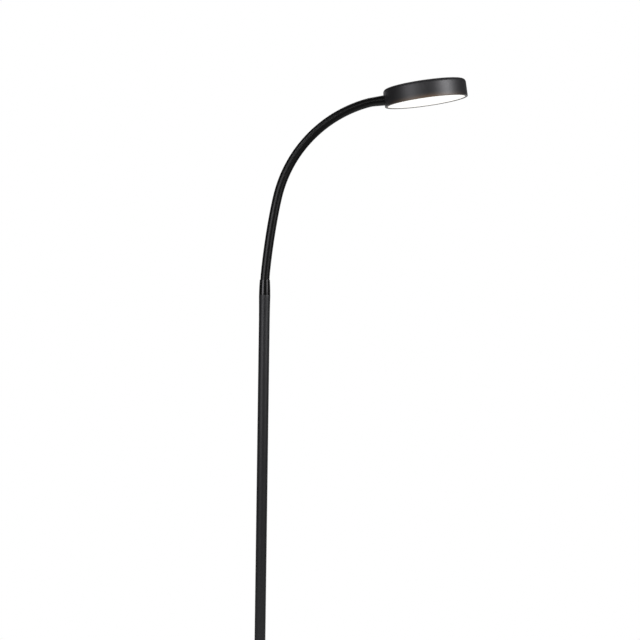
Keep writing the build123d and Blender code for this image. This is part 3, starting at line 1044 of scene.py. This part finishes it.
def makeHousing():
    cavity = headRadius - light["wall"]
    ceiling = light["height"] - light["wall"]
    lip = cavity - light["lipWidth"]
    well = button["radius"] + button["wellGap"]
    corners = [
        (lip, 0, fineEdge),
        (headRadius, 0, light["rimRound"]),
        (headRadius, light["height"], light["shoulder"]),
        (well, light["height"], softEdge),
        (well, ceiling, 0),
        (cavity, ceiling, light["shoulder"] - light["wall"]),
        (cavity, light["lipHeight"], 0),
        (lip, light["lipHeight"], 0),
    ]
    outline = roundCorners(corners, steps=12)
    shell = addPiece("headShell", lathe(outline, around=256), "head_paint", headPlace)
    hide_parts("head_housing")
    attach(shell, "light")
    makeBosses(ceiling)


def bossOutline(face, pilotTop, ceiling):
    spread = bosses["rootRound"]
    hollow = spread * bosses["rootHollow"]
    return [
        (bosses["pilot"], face, 0),
        (bosses["radius"], face, fineEdge),
        (bosses["radius"], ceiling - spread, 0),
        (bosses["radius"] + hollow, ceiling - hollow, 0),
        (bosses["radius"] + spread, ceiling, 0),
        (0, ceiling, 0),
        (0, pilotTop, 0),
        (bosses["pilot"], pilotTop, 0),
    ]


def makeBosses(ceiling):
    spots = []
    for k in range(bosses["carrierCount"]):
        angle = pi / 4 + k * 2 * pi / bosses["carrierCount"]
        x, y = bosses["carrierCircle"] * cos(angle), bosses["carrierCircle"] * sin(angle)
        spots.append((x, y, bosses["carrierFace"], bosses["carrierPilotTop"]))
    for x in (-bosses["boardX"], bosses["boardX"]):
        for y in (-bosses["boardY"], bosses["boardY"]):
            spots.append((x, y, bosses["boardFace"], bosses["boardPilotTop"]))
    for number, (x, y, face, pilotTop) in enumerate(spots, 1):
        outline = roundCorners(bossOutline(face, pilotTop, ceiling))
        place = headPlace @ Matrix.Translation((x, y, 0))
        boss = addPiece(f"housingBoss{number}", lathe(outline, around=40), "head_paint", place)
        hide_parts("head_housing")
        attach(boss, "light")


def makeDiffuser():
    radius = headRadius - light["wall"] - light["fitGap"]
    low = light["lipHeight"]
    high = low + light["diffuserThickness"]
    corners = [(0, low, 0), (radius, low, softEdge), (radius, high, softEdge), (0, high, 0)]
    outline = roundCorners(corners, closed=False)
    disc = lathe(outline, around=192, closed=False)
    piece = addPiece("diffuserDisc", disc, "opal_acrylic", headPlace)
    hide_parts("diffuser")
    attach(piece, "light")


def makeButton():
    top = light["height"] + button["proud"]
    flangeTop = light["height"] - light["wall"] - button["seatGap"]
    flangeLow = flangeTop - button["flangeThickness"]
    corners = [
        (0, button["stemFoot"], 0),
        (button["stemRadius"], button["stemFoot"], softEdge),
        (button["stemRadius"], flangeLow, 0),
        (button["flangeRadius"], flangeLow, softEdge),
        (button["flangeRadius"], flangeTop, fineEdge),
        (button["radius"], flangeTop, 0),
        (button["radius"], top, button["edge"]),
        (button["dishRadius"], top, button["dishEdge"]),
        (button["dishRadius"] * button["dishFloor"], top - button["dishDepth"], button["dishBlend"]),
        (0, top - button["dishDepth"], 0),
    ]
    outline = roundCorners(corners, closed=False, steps=8)
    knob = lathe(outline, around=96, closed=False)
    piece = addPiece("pushButton", knob, "button_plastic", headPlace)
    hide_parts("push_button")
    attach(piece, "button")


makeHousing()
makeDiffuser()
makeButton()
print("light made")

# Studio
studio = {
    "floorRadius": 2.1,
    "floorSides": 96,
    "fadeStart": 0.4,
    "fadePower": 1.5,  # a higher number makes the floor fade sooner
    "floorColors": ((0.82, 0.82, 0.81, 1), (0.85, 0.85, 0.84, 1)),
    "floorPatches": 6.0,  # patches of the second colour in a metre
    "floorRoughness": 0.8,
    "floorWhitening": 0.45,  # how far the floor near the lamp turns to the white of the backdrop
    "worldLevel": 0.04,
    "backdropStart": 0.7,  # how far a direction points to the back where the white backdrop starts
    "backdropFull": 0.85,
    "backdropTop": 0.16,  # how far up a direction points at the backdrop's top
    "cameraX": 0.0968,
    "cameraZ": 1.0313,
    "cameraDistance": 3.26,
    "roll": 0.78,  # degrees
    "lens": 105.5,  # millimetres, as is the film's width
    "filmWidth": 36,
    "farthest": 50,  # how far off the camera still sees things
    "lampAim": (0.1, 0, 1.15),  # the softboxes all face this point
}


# The camera's own rays and those through glass see the white background
def seenPlainly(tree, rays):
    return calculate(tree, "MAXIMUM", rays["Is Camera Ray"], rays["Is Transmission Ray"])


# The floor is seen from above only, so the underside of the base shows in a view from below
def makeFloor():
    mesh = bmesh.new()
    sides, radius = studio["floorSides"], studio["floorRadius"]
    bmesh.ops.create_circle(mesh, cap_ends=True, segments=sides, radius=radius)
    data = bpy.data.meshes.new("floorDisc")
    mesh.to_mesh(data)
    mesh.free()
    floor = bpy.data.objects.new("floorDisc", data)
    bpy.context.scene.collection.objects.link(floor)
    material, tree, shader = startMaterial("floorPale", Roughness=studio["floorRoughness"])
    point = objectPoint(tree)
    cloud = noise(tree, point, studio["floorPatches"], 4.0)
    connect(tree, mixColors(tree, cloud, *studio["floorColors"]), shader["Base Color"])
    distance = vectorMath(tree, "LENGTH", point)["Value"]
    fade = remap(tree, distance, studio["fadeStart"], radius, 1.0, 0.0)
    fade = calculate(tree, "POWER", fade, studio["fadePower"])
    below = addNode(tree, "ShaderNodeNewGeometry").outputs["Backfacing"]
    present = calculate(tree, "MULTIPLY", fade, calculate(tree, "SUBTRACT", 1.0, below))
    connect(tree, present, shader["Alpha"])
    rays = addNode(tree, "ShaderNodeLightPath").outputs
    seen = calculate(tree, "MAXIMUM", seenPlainly(tree, rays), rays["Is Glossy Ray"])
    whitened = calculate(tree, "MULTIPLY", seen, present)
    whitened = calculate(tree, "MULTIPLY", whitened, studio["floorWhitening"])
    white = addNode(tree, "ShaderNodeEmission", {"Color": grey(1.0), "Strength": 1.0}).outputs[0]
    plain = tree.nodes["Principled BSDF"].outputs[0]
    mixed = addNode(tree, "ShaderNodeMixShader", {0: whitened, 1: plain, 2: white}).outputs[0]
    tree.links.new(mixed, tree.nodes["Material Output"].inputs["Surface"])
    data.materials.append(material)


# Mirrored rays see the white only where a low backdrop behind the lamp would stand
def makeWorld():
    world = bpy.data.worlds.new("studioWorld")
    bpy.context.scene.world = world
    world.use_nodes = True
    tree = world.node_tree
    tree.nodes.clear()
    rays = addNode(tree, "ShaderNodeLightPath").outputs
    direction = addNode(tree, "ShaderNodeSeparateXYZ", {0: objectPoint(tree)}).outputs
    start, full = studio["backdropStart"], studio["backdropFull"]
    backdrop = remap(tree, direction["Y"], start, full, 0.0, 1.0)
    top = studio["backdropTop"]
    low = remap(tree, direction["Z"], top, top / 2, 0.0, 1.0)
    mirrored = calculate(tree, "MULTIPLY", backdrop, low)
    mirrored = calculate(tree, "MULTIPLY", rays["Is Glossy Ray"], mirrored)
    seen = calculate(tree, "MAXIMUM", seenPlainly(tree, rays), mirrored)
    white = addNode(tree, "ShaderNodeBackground", {"Color": grey(1.0), "Strength": 1.0})
    values = {"Color": grey(1.0), "Strength": studio["worldLevel"]}
    dim = addNode(tree, "ShaderNodeBackground", values)
    mixed = addNode(tree, "ShaderNodeMixShader", {0: seen, 1: dim.outputs[0], 2: white.outputs[0]})
    output = tree.nodes.new("ShaderNodeOutputWorld")
    tree.links.new(mixed.outputs[0], output.inputs["Surface"])


# Each softbox is (name, degrees to the right of the camera, distance, height, width, tall,
# power, color)
softboxes = [
    ("leftSoftbox", -40, 2.2, 1.35, 1.15, 1.15, 14.5, (1.0, 0.985, 1.03)),
    ("leftHighSoftbox", -50, 2.0, 2.8, 0.6, 0.6, 5, (1.0, 0.985, 1.03)),
    ("rightLowSoftbox", 52, 2.2, 1.45, 1.1, 0.6, 6, (1.0, 0.99, 1.02)),
    ("rightHighSoftbox", 58, 2.2, 2.1, 0.95, 0.6, 24, (1.0, 0.99, 1.02)),
    ("frontSoftbox", -10, 2.2, 2.1, 0.55, 0.6, 2.5, (1.0, 1.0, 1.0)),
    ("backSoftbox", 180, 1.6, 3.0, 1.2, 1.2, 6, (1.0, 1.0, 1.0)),
]


def makeLights():
    target = Vector(studio["lampAim"])
    for name, side, distance, height, width, tall, power, color in softboxes:
        lamp = bpy.data.lights.new(name, "AREA")
        lamp.shape = "RECTANGLE"
        lamp.size = width
        lamp.size_y = tall
        lamp.energy = power
        lamp.color = color
        box = bpy.data.objects.new(name, lamp)
        angle = radians(side)
        box.location = (target.x + distance * sin(angle), -distance * cos(angle), height)
        box.rotation_euler = (target - box.location).to_track_quat("-Z", "Y").to_euler()
        box.visible_camera = False
        bpy.context.scene.collection.objects.link(box)


def makeCamera():
    lens = bpy.data.cameras.new("photoCamera")
    lens.lens = studio["lens"]
    lens.sensor_width = studio["filmWidth"]
    lens.clip_end = studio["farthest"]
    camera = bpy.data.objects.new("photoCamera", lens)
    camera.location = (studio["cameraX"], -studio["cameraDistance"], studio["cameraZ"])
    camera.rotation_euler = (pi / 2, -radians(studio["roll"]), 0)
    bpy.context.scene.collection.objects.link(camera)
    bpy.context.scene.camera = camera


makeFloor()
makeWorld()
makeLights()
makeCamera()
bpy.context.scene.view_settings.view_transform = "Standard"
print("studio made")
